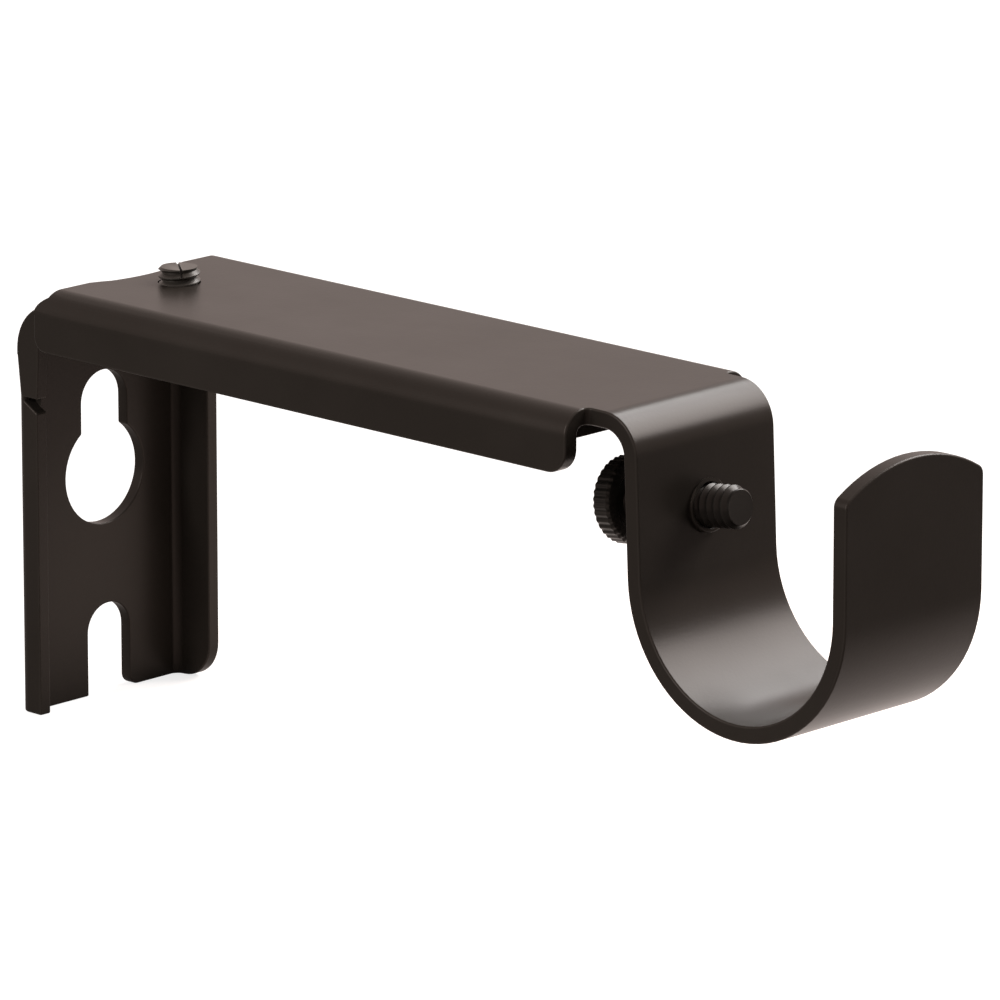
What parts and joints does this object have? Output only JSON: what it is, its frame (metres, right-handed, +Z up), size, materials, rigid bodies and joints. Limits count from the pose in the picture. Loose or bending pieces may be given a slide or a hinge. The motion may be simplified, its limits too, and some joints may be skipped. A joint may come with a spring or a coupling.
{
  "type": "curtain pole bracket",
  "caption": "Extending wall bracket for a curtain pole: keyhole wall plate, sliding channel arm with an open cup, set screw and knurled thumb screw.",
  "frame": {"origin": "on the wall, at the centre of the round part of the keyhole in the wall plate", "axes": "+X straight out from the wall towards the pole cup, +Y along the pole, +Z up"},
  "size_m": [0.1198, 0.0276, 0.0501],
  "materials": {
    "coated_steel": "satin bronze powder coat",
    "screw_steel": "dark bronze plated"
  },
  "bodies": {
    "wall_bracket": {"wall_bracket": "coated_steel"},
    "arm": {"arm": "coated_steel"},
    "set_screw": {"set_screw": "screw_steel"},
    "thumb_screw": {"thumb_screw": "screw_steel"}
  },
  "joints": [
    {"name": "arm_slide", "type": "slide", "parent": "wall_bracket", "child": "arm", "axis": [1, 0, 0], "range_m": [0, 0.045]},
    {"name": "set_screw_travel", "type": "slide", "parent": "arm", "child": "set_screw", "axis": [0, 0, 1], "range_m": [0, 0.0015]},
    {"name": "thumb_screw_travel", "type": "slide", "parent": "arm", "child": "thumb_screw", "axis": [0.9925, 0, 0.1219], "range_m": [-0.0043, 0.0073]}
  ]
}
